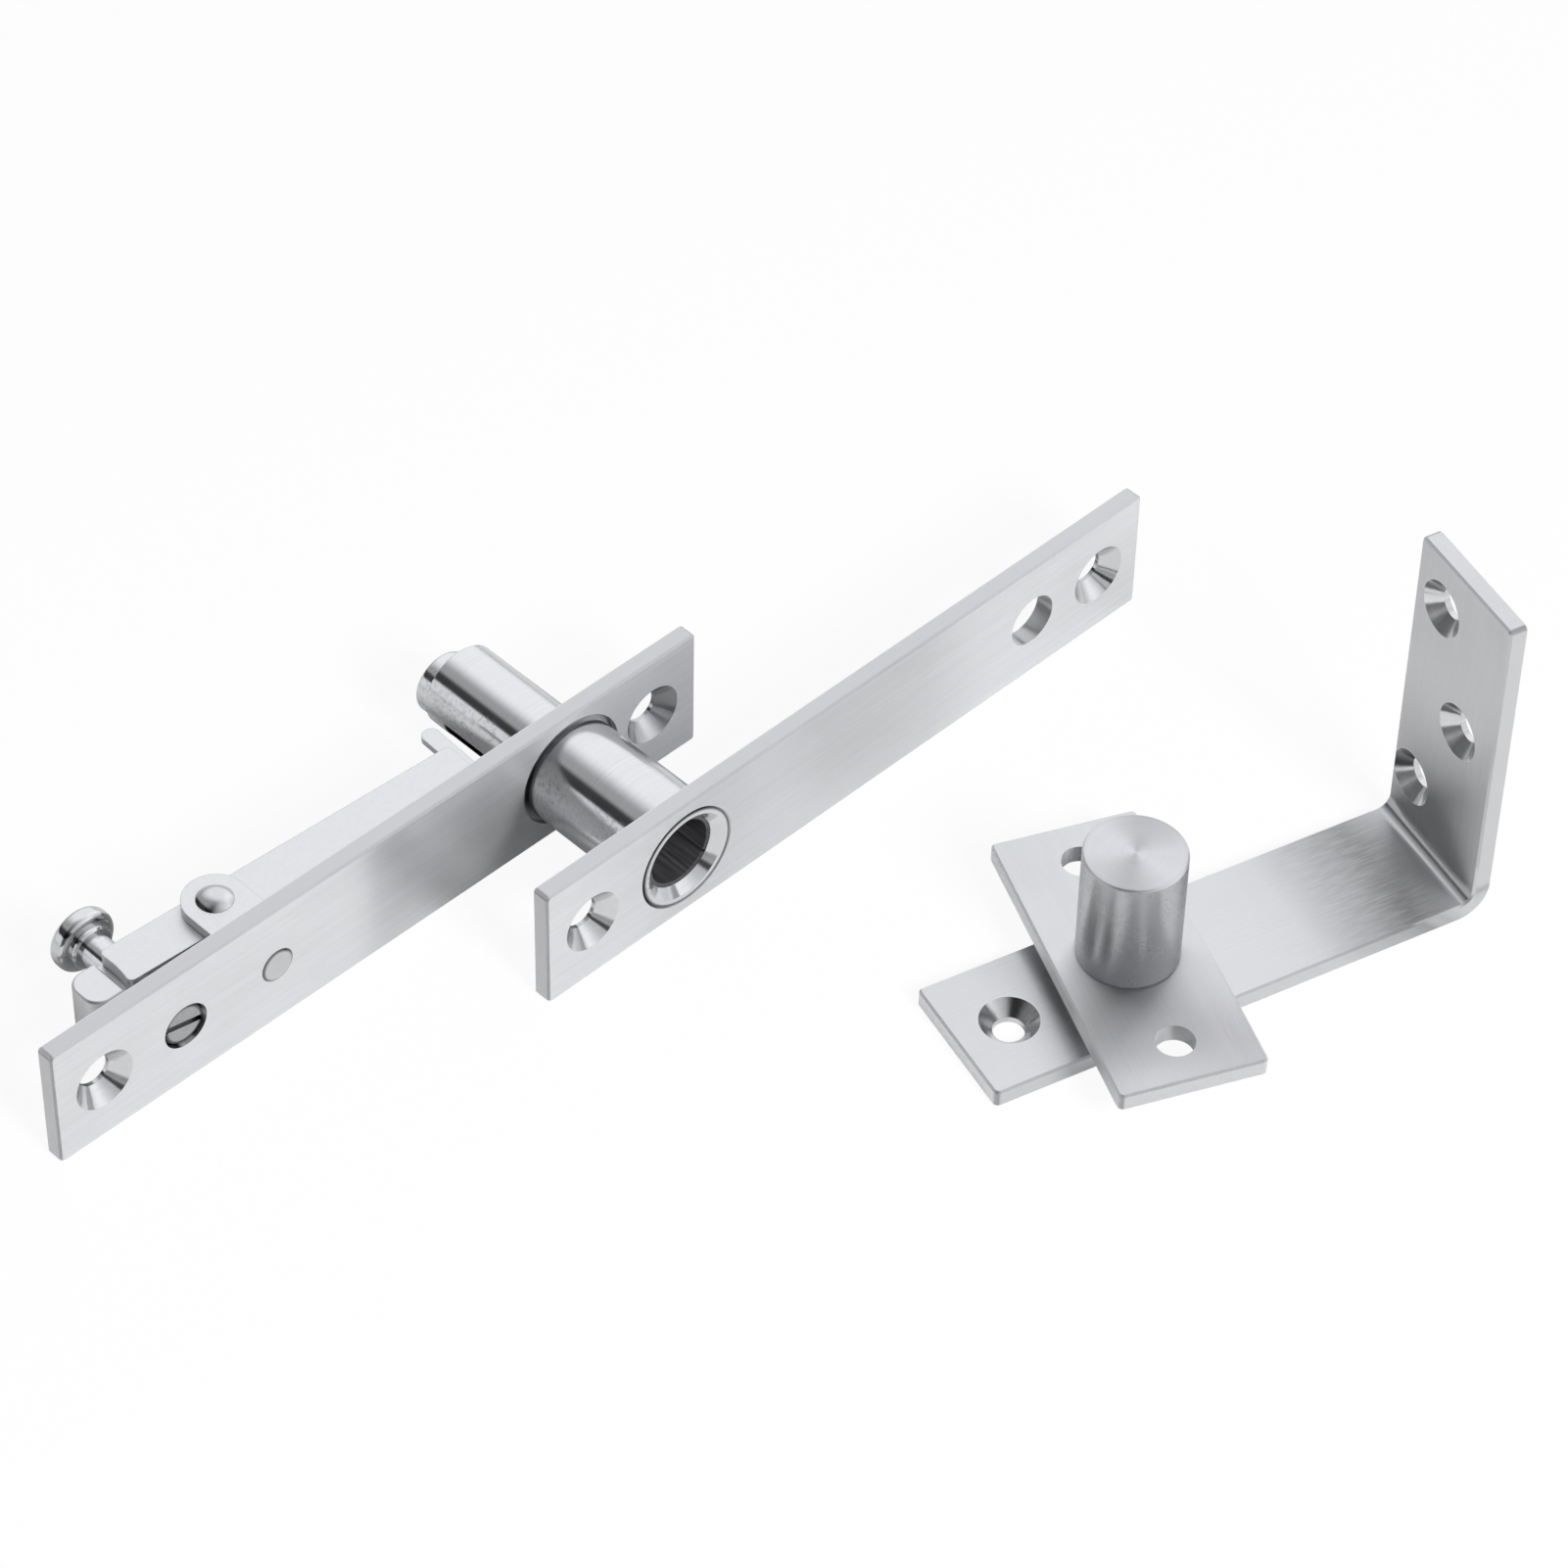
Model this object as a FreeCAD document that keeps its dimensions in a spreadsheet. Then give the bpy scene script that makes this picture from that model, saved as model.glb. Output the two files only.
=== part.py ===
import FreeCAD, Part

import math
import os
import re

import Sketcher

# Door pivot hinge: a top pivot with a retractable pin and a bottom pivot on an angle bracket.
#
# Millimetres. X runs along the two top plates, Y runs along the top pivot's axis from the door
# plate to the frame plate, and Z is up from the surface that the pieces lie on. The origin is on
# that surface, under the middle of the whole set. The top plates stand on their long edges.

SIZES = (
    # flat strip of the two top plates
    ("strip_width", 20.0),
    ("strip_thickness", 2.8),
    ("strip_corner", 0.7),
    ("edge_break", 0.3),
    ("top_plate_length", 112.0),
    # pivot axis to the near end of each top plate, and fixing holes to the plate ends
    ("frame_pin_margin", 23.0),
    ("door_pin_margin", 25.0),
    ("end_hole_margin", 8.0),
    # countersunk fixing holes of the top plates
    ("fixing_hole_radius", 2.4),
    ("fixing_sink_radius", 4.6),
    ("sink_angle", 90.0),
    # front face of the door plate to front face of the frame plate
    ("plate_pitch", 22.5),
    # retractable pin and the two bores that it runs in
    ("pin_radius", 5.0),
    ("pin_clearance", 0.05),
    ("pin_reach", 8.3),
    ("pin_tail", 12.9),
    ("pin_chamfer", 0.8),
    # guide barrel behind the frame plate
    ("barrel_wall", 1.15),
    ("barrel_reach", 25.4),
    ("barrel_floor", 1.0),
    # closing cap pressed out of line on the end of the barrel
    ("cap_radius", 4.7),
    ("cap_length", 2.8),
    ("cap_shift", 1.1),
    ("cap_heading", 35.0),
    ("cap_round", 0.7),
    # round recess in the frame plate that takes the end of the sleeve
    ("recess_clearance", 0.85),
    ("recess_depth", 1.0),
    ("sleeve_entry", 0.4),
    # sleeve of the door plate and its split liner
    ("liner_wall", 0.5),
    ("liner_inset", 0.2),
    ("liner_gap", 0.45),
    ("sleeve_wall", 2.2),
    ("sleeve_lip", 0.9),
    ("sleeve_chamfer", 0.5),
    ("rim_groove", 0.35),
    # adjusting screw and the hole that gives access to it
    ("screw_offset", 67.5),
    ("access_offset", 65.8),
    ("access_hole_radius", 4.0),
    ("screw_radius", 2.4),
    ("journal_radius", 2.5),
    ("journal_clearance", 0.05),
    ("screw_head_radius", 3.3),
    ("screw_head_clearance", 0.2),
    ("screw_head_recess", 0.4),
    ("screw_seat_depth", 1.7),
    ("screw_slot_width", 0.9),
    ("screw_slot_depth", 0.8),
    ("screw_slot_heading", 13.5),
    ("collar_radius", 4.2),
    ("collar_thickness", 0.75),
    ("axial_play", 0.05),
    # knob that stops the nut at the free end of the screw
    ("knob_start", 18.5),
    ("knob_boss_radius", 3.3),
    ("knob_boss_length", 1.0),
    ("knob_radius", 4.7),
    ("knob_thickness", 2.85),
    ("knob_rim", 1.1),
    ("knob_spigot_radius", 1.8),
    # nut block on the screw
    ("nut_tail", 9.3),
    ("nut_nose", 4.0),
    ("nut_width", 6.5),
    ("nut_half_height", 3.7),
    ("nut_head_height", 10.0),
    ("nut_head_start", 4.3),
    ("nut_corner", 2.6),
    ("nut_clearance", 0.06),
    ("stub_radius", 1.3),
    ("stub_length", 1.0),
    # lever between the nut and the pin
    ("fulcrum_offset", 54.5),
    ("lever_stand", 9.0),
    ("lever_rest_angle", 3.0),
    ("lever_width", 6.8),
    ("lever_tail_margin", 3.4),
    ("lever_tail_hollow", 0.4),
    ("lever_corner", 0.8),
    ("lever_tip_gap", 6.7),
    ("lever_gap", 0.1),
    ("flange_thickness", 2.0),
    ("web_thickness", 1.4),
    ("web_reach", 7.5),
    ("stub_slot_play", 0.15),
    ("stub_slot_length", 0.5),
    ("tab_width", 2.6),
    ("tongue_overhang", 5.9),
    ("tongue_thickness", 1.0),
    ("tab_lap", 0.6),
    ("finger_width", 2.2),
    ("finger_half_height", 1.3),
    ("finger_tip_radius", 1.5),
    ("finger_entry", 1.0),
    ("finger_drop", 2.4),
    ("notch_play", 0.25),
    ("slot_start", 3.4),
    ("slot_end", 18.8),
    # fulcrum bracket riveted to the back of the frame plate
    ("ear_radius", 4.5),
    ("ear_thickness", 1.5),
    ("ear_gap", 0.1),
    ("fulcrum_rivet_radius", 2.0),
    ("rivet_clearance", 0.05),
    ("rivet_head_radius", 2.6),
    ("rivet_head_height", 1.1),
    ("bracket_rivet_shift", 2.5),
    ("bracket_rivet_radius", 1.75),
    ("bracket_rivet_sink", 2.6),
    ("bracket_rivet_dome", 0.2),
    # flat strip of the bottom pivot
    ("foot_width", 20.8),
    ("foot_thickness", 2.8),
    ("foot_corner", 0.8),
    # bottom pivot axis from the top pivot axis, and the two headings
    ("foot_across", 32.2),
    ("foot_forward", 50.1),
    ("leg_heading", -15.7),
    ("foot_plate_heading", 64.9),
    # angle bracket
    ("leg_length", 76.2),
    ("wall_height", 52.7),
    ("bend_radius", 2.0),
    ("pivot_from_end", 25.7),
    ("leg_hole_margin", 8.0),
    ("foot_hole_radius", 2.2),
    ("foot_sink_radius", 4.1),
    ("wall_hole_top", 44.4),
    ("wall_hole_middle", 27.8),
    ("wall_hole_bottom", 11.7),
    ("wall_hole_top_side", 4.5),
    ("wall_hole_middle_side", -2.3),
    ("wall_hole_bottom_side", 6.2),
    # bottom door plate
    ("foot_plate_length", 47.5),
    ("foot_plate_hole_radius", 2.7),
    ("foot_plate_hole_pitch", 33.8),
    # fixed pin, washer, ball and the closed housing that turns on them
    ("stud_radius", 4.0),
    ("stud_tail_radius", 3.0),
    ("stud_height", 14.4),
    ("stud_chamfer", 0.6),
    ("stud_clearance", 0.05),
    ("washer_radius", 7.2),
    ("washer_thickness", 1.8),
    ("ball_radius", 3.0),
    ("ball_play", 0.05),
    ("bearing_liner_wall", 0.5),
    ("housing_wall", 2.45),
    ("housing_roof", 2.65),
    ("housing_chamfer", 0.25),
    ("housing_spigot_wall", 1.4),
)

doc = FreeCAD.newDocument("pivot_hinge")

sheet = doc.addObject("Spreadsheet::Sheet", "dims")
for row, (alias, amount) in enumerate(SIZES, start=1):
    sheet.set("A%d" % row, alias)
    sheet.set("B%d" % row, str(amount))
    sheet.setAlias("B%d" % row, alias)
doc.recompute()

ALIASES = {alias for alias, _ in SIZES}

# Two places nearer than this are the same place.
TOUCHING = 0.0001

# Sizes that follow from the driving ones, written with their names.
DERIVED = {
    "half_strip": "(strip_width / 2)",
    "half_lever": "(lever_width / 2)",
    "barrel_bore": "(pin_radius + pin_clearance)",
    "barrel_radius": "(barrel_bore + barrel_wall)",
    "liner_radius": "(pin_radius + pin_clearance + liner_wall)",
    "sleeve_radius": "(liner_radius + sleeve_wall)",
    "sleeve_length": "(plate_pitch + sleeve_entry)",
    "recess_radius": "(sleeve_radius + recess_clearance)",
    "journal_hole_radius": "(journal_radius + journal_clearance)",
    "screw_seat_radius": "(screw_head_radius + screw_head_clearance)",
    "screw_arm": "(screw_offset - fulcrum_offset)",
    "lever_tail": "(screw_arm + lever_tail_margin)",
    "nut_stand": "(lever_stand + screw_arm * sin(lever_rest_angle))",
    "notch_stand": "(lever_stand - finger_reach * sin(lever_rest_angle))",
    "lever_right": "(fulcrum_offset - barrel_radius - lever_tip_gap)",
    "finger_reach": "(fulcrum_offset - pin_radius + finger_entry)",
    "flange_bottom": "(nut_half_height + lever_gap)",
    "lever_half_height": "(flange_bottom + flange_thickness)",
        "stub_slot_half": "(stub_radius + stub_slot_play)",
    "ear_bottom": "(lever_half_height + ear_gap)",
    "ear_top": "(ear_bottom + ear_thickness)",
    "bracket_back": "(lever_stand - strip_thickness)",
    "rivet_dome": "(rivet_head_radius ^ 2 / (2 * rivet_head_height) + rivet_head_height / 2)",
    "tail_bow": "(half_lever ^ 2 / (2 * lever_tail_hollow) + lever_tail_hollow / 2)",
    "notch_half": "(finger_tip_radius + notch_play)",
    "half_foot": "(foot_width / 2)",
    "wall_outer": "(leg_length - pivot_from_end)",
    "wall_inner": "(wall_outer - foot_thickness)",
    "outer_bend": "(bend_radius + foot_thickness)",
    "foot_plate_bottom": "(foot_thickness + washer_thickness)",
    "foot_plate_top": "(foot_plate_bottom + foot_thickness)",
    "bearing_bore": "(stud_radius + stud_clearance)",
    "bearing_liner_radius": "(bearing_bore + bearing_liner_wall)",
    "housing_radius": "(bearing_liner_radius + housing_wall)",
    "housing_spigot_radius": "(bearing_liner_radius + housing_spigot_wall)",
    "stud_top": "(foot_thickness + stud_height)",
    "housing_bore_end": "(stud_top + 2 * ball_radius + ball_play)",
    "housing_top": "(housing_bore_end + housing_roof)",
}


def bound(text):
    """The text with each name replaced by its formula or its cell in the sheet."""
    def expand(match):
        word = match.group(0)
        if word in DERIVED:
            return bound(DERIVED[word])
        return "dims." + word if word in ALIASES else word
    return re.sub(r"[a-z_]+", expand, text)


def value(text):
    """The number that the text stands for."""
    result = doc.getObject("ruler").evalExpression(bound(text))
    return float(getattr(result, "Value", result))


doc.addObject("App::FeaturePython", "ruler")
pieces = []


# Building blocks

def new_body(name):
    body = doc.addObject("PartDesign::Body", name)
    body.Label = name
    pieces.append(body)
    return body


def new_sketch(body, name, lift="0", role="XY_Plane"):
    """A sketch on one of the body's origin planes, lifted along the plane's normal."""
    plane = [item for item in body.Origin.OriginFeatures if item.Role == role][0]
    sketch = body.newObject("Sketcher::SketchObject", body.Name + "_" + name)
    sketch.AttachmentSupport = [(plane, "")]
    sketch.MapMode = "FlatFace"
    sketch.setExpression("AttachmentOffset.Base.z", bound(lift))
    return sketch


def hold(sketch, constraint, text):
    sketch.setExpression("Constraints[%d]" % sketch.addConstraint(constraint), bound(text))


def pin_point(sketch, index, position, across, up):
    """Fixes one point of a curve at two named distances from the sketch's origin."""
    hold(sketch, Sketcher.Constraint("DistanceX", index, position, value(across)), across)
    hold(sketch, Sketcher.Constraint("DistanceY", index, position, value(up)), up)


def draw_circle(sketch, radius, across="0", up="0"):
    centre = FreeCAD.Vector(value(across), value(up), 0)
    circle = Part.Circle(centre, FreeCAD.Vector(0, 0, 1), value(radius))
    index = sketch.addGeometry(circle)
    hold(sketch, Sketcher.Constraint("Radius", index, value(radius)), radius)
    pin_point(sketch, index, 3, across, up)


def draw_outline(sketch, corners):
    """A closed outline through named points. A corner that goes on with a centre and a sense
    is reached by an arc about that centre, and any other corner by a straight line."""
    places = [FreeCAD.Vector(value(corner[0]), value(corner[1]), 0) for corner in corners]
    first = None
    previous = None
    for here, corner in enumerate(corners):
        ahead = (here + 1) % len(corners)
        target = corners[ahead]
        curved = len(target) > 2
        start, finish = 1, 2
        if curved:
            centre = FreeCAD.Vector(value(target[2]), value(target[3]), 0)
            ends = [places[here] - centre, places[ahead] - centre]
            if target[4] == "clockwise":
                ends.reverse()
                start, finish = 2, 1
            low, high = [math.atan2(end.y, end.x) for end in ends]
            circle = Part.Circle(centre, FreeCAD.Vector(0, 0, 1), ends[0].Length)
            index = sketch.addGeometry(Part.ArcOfCircle(circle, low, high + math.tau * (high < low)))
        else:
            index = sketch.addGeometry(Part.LineSegment(places[here], places[ahead]))
        if previous is None:
            first = (index, start)
        else:
            sketch.addConstraint(Sketcher.Constraint("Coincident", *previous, index, start))
        pin_point(sketch, index, start, corner[0], corner[1])
        if curved:
            chord = places[ahead] - places[here]
            kind, text = ("DistanceY", target[3]) if abs(chord.x) > abs(chord.y) else ("DistanceX", target[2])
            hold(sketch, Sketcher.Constraint(kind, index, 3, value(text)), text)
        previous = (index, finish)
    sketch.addConstraint(Sketcher.Constraint("Coincident", *previous, *first))


def draw_box(sketch, left, right, low, high):
    draw_outline(sketch, ((left, low), (right, low), (right, high), (left, high)))


def checked(feature, grows):
    """Recomputes and makes sure that the feature really added or removed material."""
    body = feature.getParentGeoFeatureGroup()
    before = 0.0 if feature.BaseFeature is None else feature.BaseFeature.Shape.Volume
    doc.recompute()
    change = feature.Shape.Volume - before
    if (change > 1e-6) != grows or abs(change) < 1e-6:
        raise RuntimeError("no effect: %s in %s" % (feature.Name, body.Name))
    return feature


def pad(body, name, sketch, length):
    feature = body.newObject("PartDesign::Pad", body.Name + "_" + name)
    feature.Profile = sketch
    feature.setExpression("Length", bound(length))
    return checked(feature, True)


def pocket(body, name, sketch, length=None, ahead=False):
    """Cuts against the sketch's normal, or along it when ahead is set."""
    feature = body.newObject("PartDesign::Pocket", body.Name + "_" + name)
    feature.Profile = sketch
    feature.Reversed = ahead
    if length is None:
        feature.Type = "ThroughAll"
    else:
        feature.setExpression("Length", bound(length))
    return checked(feature, False)


def turn(body, name, corners):
    """A ring or shaft turned about the body's Z axis from radius and height pairs."""
    sketch = new_sketch(body, name + "_profile", role="XZ_Plane")
    draw_outline(sketch, corners)
    feature = body.newObject("PartDesign::Revolution", body.Name + "_" + name)
    feature.Profile = sketch
    feature.ReferenceAxis = (sketch, ["V_Axis"])
    feature.Angle = 360.0
    return checked(feature, True)


def soften(body, kind, name, feature, amount, wanted):
    """A fillet or chamfer on the edges of the feature that the test picks."""
    edges = ["Edge%d" % (number + 1) for number, edge in enumerate(feature.Shape.Edges) if wanted(edge)]
    dressing = body.newObject("PartDesign::" + kind, body.Name + "_" + name)
    dressing.Base = (feature, edges)
    dressing.setExpression("Radius" if kind == "Fillet" else "Size", bound(amount))
    return checked(dressing, False)


def upright(edge):
    box = edge.BoundBox
    return box.XLength < TOUCHING and box.YLength < TOUCHING


def at_level(*levels):
    """A test for edges that lie flat at one of the given heights."""
    def wanted(edge):
        box = edge.BoundBox
        return box.ZLength < TOUCHING and any(abs(box.ZMin - level) < TOUCHING for level in levels)
    return wanted


def countersinks(body, name, sketch, hole_radius, sink_radius, ahead=False):
    doc.recompute()
    feature = body.newObject("PartDesign::Hole", body.Name + "_" + name)
    feature.Profile = sketch
    doc.recompute()
    feature.Threaded = False
    feature.DepthType = "ThroughAll"
    feature.Reversed = ahead
    feature.HoleCutType = "Countersink"
    feature.HoleCutCustomValues = True
    feature.setExpression("Diameter", bound("2 * " + hole_radius))
    feature.setExpression("HoleCutDiameter", bound("2 * " + sink_radius))
    feature.setExpression("HoleCutCountersinkAngle", bound("sink_angle"))
    return checked(feature, False)


def place(body, across, back, up, rotation=None):
    body.Placement = FreeCAD.Placement(
        FreeCAD.Vector(value(across), value(back), value(up)),
        rotation or FreeCAD.Rotation(),
    )


def about(axis, degrees):
    return FreeCAD.Rotation(FreeCAD.Vector(*axis), degrees)


# A plate lies face up in its own frame and then stands with that face to the front.
STANDING = about((1, 0, 0), 90)

# A turned piece stands on its end in its own frame and then points to the back.
POINTING_BACK = about((1, 0, 0), -90)


def strip_plate(body, left, right, half_width, thickness, corner):
    """A flat strip with rounded corners and broken edges, from z = 0 up."""
    outline = new_sketch(body, "outline")
    draw_box(outline, left, right, "-" + half_width, half_width)
    blank = pad(body, "blank", outline, thickness)
    rounded = soften(body, "Fillet", "corners", blank, corner, upright)
    return soften(body, "Chamfer", "edges", rounded, "edge_break", at_level(0.0, value(thickness)))


# Top pivot, frame side

def make_frame_plate():
    body = new_body("frame_plate")
    far_end = "(top_plate_length - frame_pin_margin)"
    strip_plate(body, "-" + far_end, "frame_pin_margin", "half_strip", "strip_thickness", "strip_corner")
    marks = new_sketch(body, "fixing_marks", "strip_thickness")
    draw_circle(marks, "fixing_hole_radius", "frame_pin_margin - end_hole_margin")
    draw_circle(marks, "fixing_hole_radius", "end_hole_margin - " + far_end)
    countersinks(body, "fixing_holes", marks, "fixing_hole_radius", "fixing_sink_radius")
    recess = new_sketch(body, "recess_circle", "strip_thickness")
    draw_circle(recess, "recess_radius")
    pocket(body, "recess", recess, "recess_depth")
    openings = new_sketch(body, "opening_circles", "strip_thickness")
    draw_circle(openings, "barrel_radius")
    draw_circle(openings, "journal_hole_radius", "-screw_offset")
    draw_circle(openings, "bracket_rivet_radius", "bracket_rivet_shift - fulcrum_offset")
    pocket(body, "openings", openings)
    seat = new_sketch(body, "screw_seat_circle", "strip_thickness")
    draw_circle(seat, "screw_seat_radius", "-screw_offset")
    pocket(body, "screw_seat", seat, "screw_seat_depth")
    mark = new_sketch(body, "rivet_mark", "strip_thickness")
    draw_circle(mark, "bracket_rivet_radius", "bracket_rivet_shift - fulcrum_offset")
    countersinks(body, "rivet_sink", mark, "bracket_rivet_radius", "bracket_rivet_sink")
    place(body, "0", "plate_pitch + strip_thickness", "half_strip", STANDING)


def make_guide_barrel():
    body = new_body("guide_barrel")
    shoulder = "barrel_reach - cap_length"
    turn(body, "barrel", (
        ("barrel_bore", "recess_depth"),
        ("barrel_radius", "recess_depth"),
        ("barrel_radius", shoulder + " - edge_break"),
        ("barrel_radius - edge_break", shoulder),
        ("0", shoulder),
        ("0", shoulder + " - barrel_floor"),
        ("barrel_bore", shoulder + " - barrel_floor"),
    ))
    cap_circle = new_sketch(body, "cap_circle", shoulder)
    draw_circle(cap_circle, "cap_radius", "-cap_shift * cos(cap_heading)", "cap_shift * sin(cap_heading)")
    cap = pad(body, "cap", cap_circle, "cap_length")
    soften(body, "Fillet", "cap_rim", cap, "cap_round", at_level(value("barrel_reach")))
    slot = new_sketch(body, "slot_outline", "-(finger_drop + finger_half_height + notch_play)", "XZ_Plane")
    draw_box(slot, "-(barrel_radius + 1)", "-finger_width", "slot_start", "slot_end")
    pocket(body, "slot", slot, "2 * (finger_half_height + notch_play)", ahead=True)
    place(body, "0", "plate_pitch", "half_strip", POINTING_BACK)


def make_pivot_pin():
    body = new_body("pivot_pin")
    turn(body, "shaft", (
        ("0", "-pin_reach"),
        ("pin_radius - pin_chamfer", "-pin_reach"),
        ("pin_radius", "pin_chamfer - pin_reach"),
        ("pin_radius", "pin_tail - edge_break"),
        ("pin_radius - edge_break", "pin_tail"),
        ("0", "pin_tail"),
    ))
    notch = new_sketch(body, "notch_outline", "-(finger_drop + finger_half_height + notch_play)", "XZ_Plane")
    inner = "-(pin_radius - finger_entry - finger_tip_radius - 2 * notch_play)"
    draw_box(notch, "-(pin_radius + 1)", inner, "notch_stand - notch_half", "notch_stand + notch_half")
    pocket(body, "notch", notch, "2 * (finger_half_height + notch_play)", ahead=True)
    place(body, "0", "plate_pitch", "half_strip", POINTING_BACK)


def make_fulcrum_bracket():
    body = new_body("fulcrum_bracket")
    outline = new_sketch(body, "outline", "-ear_top")
    draw_outline(outline, (
        ("ear_radius", "0"),
        ("-ear_radius", "0", "0", "0", "counterclockwise"),
        ("-ear_radius", "-bracket_back"),
        ("ear_radius", "-bracket_back"),
    ))
    pad(body, "blank", outline, "2 * ear_top")
    gap = new_sketch(body, "gap_outline", "ear_bottom")
    draw_box(gap, "-(ear_radius + 1)", "ear_radius + 1", "ear_thickness - bracket_back", "ear_radius + 1")
    pocket(body, "gap", gap, "2 * ear_bottom")
    bore = new_sketch(body, "bore_circle", "ear_top")
    draw_circle(bore, "fulcrum_rivet_radius")
    pocket(body, "bore", bore)
    rivet = new_sketch(body, "rivet_circle", "bracket_back", "XZ_Plane")
    draw_circle(rivet, "bracket_rivet_radius", "bracket_rivet_shift")
    pocket(body, "rivet_hole", rivet, "ear_thickness")
    place(body, "-fulcrum_offset", "plate_pitch + lever_stand", "half_strip")


def make_fulcrum_rivet():
    body = new_body("fulcrum_rivet")
    crown = "(ear_top + rivet_head_height)"
    turn(body, "shank", (
        ("0", "-" + crown),
        ("rivet_head_radius", "-ear_top", "0", "rivet_dome - " + crown, "counterclockwise"),
        ("fulcrum_rivet_radius", "-ear_top"),
        ("fulcrum_rivet_radius", "ear_top"),
        ("rivet_head_radius", "ear_top"),
        ("0", crown, "0", crown + " - rivet_dome", "counterclockwise"),
    ))
    place(body, "-fulcrum_offset", "plate_pitch + lever_stand", "half_strip")


def make_bracket_rivet():
    body = new_body("bracket_rivet")
    cone = "bracket_rivet_sink - bracket_rivet_radius"
    turn(body, "shank", (
        ("0", "-bracket_rivet_dome"),
        ("bracket_rivet_sink - 2 * bracket_rivet_dome", "-bracket_rivet_dome"),
        ("bracket_rivet_sink", "0"),
        ("bracket_rivet_radius", cone),
        ("bracket_rivet_radius", "strip_thickness + ear_thickness"),
        ("bracket_rivet_sink", "strip_thickness + ear_thickness"),
        ("bracket_rivet_sink", "strip_thickness + ear_thickness + edge_break"),
        ("bracket_rivet_radius", "strip_thickness + ear_thickness + 2 * edge_break"),
        ("0", "strip_thickness + ear_thickness + 2 * edge_break"),
    ))
    place(body, "bracket_rivet_shift - fulcrum_offset", "plate_pitch", "half_strip", POINTING_BACK)


# Adjusting screw, nut and lever

def make_adjusting_screw():
    body = new_body("adjusting_screw")
    turn(body, "shank", (
        ("0", "screw_head_recess"),
        ("screw_head_radius - edge_break", "screw_head_recess"),
        ("screw_head_radius", "screw_head_recess + edge_break"),
        ("screw_head_radius", "screw_seat_depth"),
        ("journal_radius", "screw_seat_depth"),
        ("journal_radius", "strip_thickness + axial_play + collar_thickness"),
        ("screw_radius", "strip_thickness + axial_play + collar_thickness"),
        ("screw_radius", "knob_start"),
        ("knob_spigot_radius", "knob_start"),
        ("knob_spigot_radius", "knob_start + knob_boss_length + knob_thickness"),
        ("0", "knob_start + knob_boss_length + knob_thickness"),
    ))
    slot = new_sketch(body, "slot_outline", "screw_head_recess")
    half = "screw_slot_width / 2"
    draw_box(slot, "-(screw_head_radius + 1)", "screw_head_radius + 1", "-" + half, half)
    pocket(body, "slot", slot, "screw_slot_depth", ahead=True)
    heading = about((0, 0, 1), value("screw_slot_heading"))
    place(body, "-screw_offset", "plate_pitch", "half_strip", POINTING_BACK.multiply(heading))


def make_screw_collar():
    body = new_body("screw_collar")
    low = "strip_thickness + axial_play"
    high = low + " + collar_thickness"
    turn(body, "ring", (
        ("journal_radius", low),
        ("collar_radius", low),
        ("collar_radius", high),
        ("journal_radius", high),
    ))
    place(body, "-screw_offset", "plate_pitch", "half_strip", POINTING_BACK)


def make_screw_knob():
    body = new_body("screw_knob")
    front = "knob_start + knob_boss_length"
    back = front + " + knob_thickness"
    core = "knob_radius - knob_rim"
    turn(body, "head", (
        ("knob_spigot_radius", "knob_start"),
        ("knob_boss_radius - edge_break", "knob_start"),
        ("knob_boss_radius", "knob_start + edge_break"),
        ("knob_boss_radius", front),
        (core, front),
        ("knob_radius", front + " + knob_rim", core, front + " + knob_rim", "counterclockwise"),
        ("knob_radius", back + " - knob_rim"),
        (core, back, core, back + " - knob_rim", "counterclockwise"),
        ("knob_spigot_radius", back),
    ))
    place(body, "-screw_offset", "plate_pitch", "half_strip", POINTING_BACK)


def make_nut_block():
    body = new_body("nut_block")
    head = new_sketch(body, "head_outline", "-nut_head_height / 2")
    draw_box(head, "-nut_tail", "-nut_head_start", "-nut_width / 2", "nut_width / 2")
    blank = pad(body, "head", head, "nut_head_height")
    tail = -value("nut_tail")
    rounded = soften(body, "Fillet", "tail", blank, "nut_corner",
                     lambda edge: upright(edge) and abs(edge.BoundBox.XMin - tail) < TOUCHING)
    ends = at_level(value("-nut_head_height / 2"), value("nut_head_height / 2"))
    soften(body, "Chamfer", "edges", rounded, "edge_break", ends)
    tongue = new_sketch(body, "tongue_outline", "-nut_half_height")
    draw_box(tongue, "-nut_head_start - 1", "nut_nose", "-nut_width / 2", "nut_width / 2")
    pad(body, "tongue", tongue, "2 * nut_half_height")
    stubs = new_sketch(body, "stub_circle", "-(nut_half_height + stub_length)")
    draw_circle(stubs, "stub_radius")
    pad(body, "stubs", stubs, "2 * (nut_half_height + stub_length)")
    thread = new_sketch(body, "thread_circle", "nut_width", "XZ_Plane")
    draw_circle(thread, "screw_radius + nut_clearance")
    pocket(body, "thread_hole", thread)
    place(body, "-screw_offset", "plate_pitch + nut_stand", "half_strip")


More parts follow.
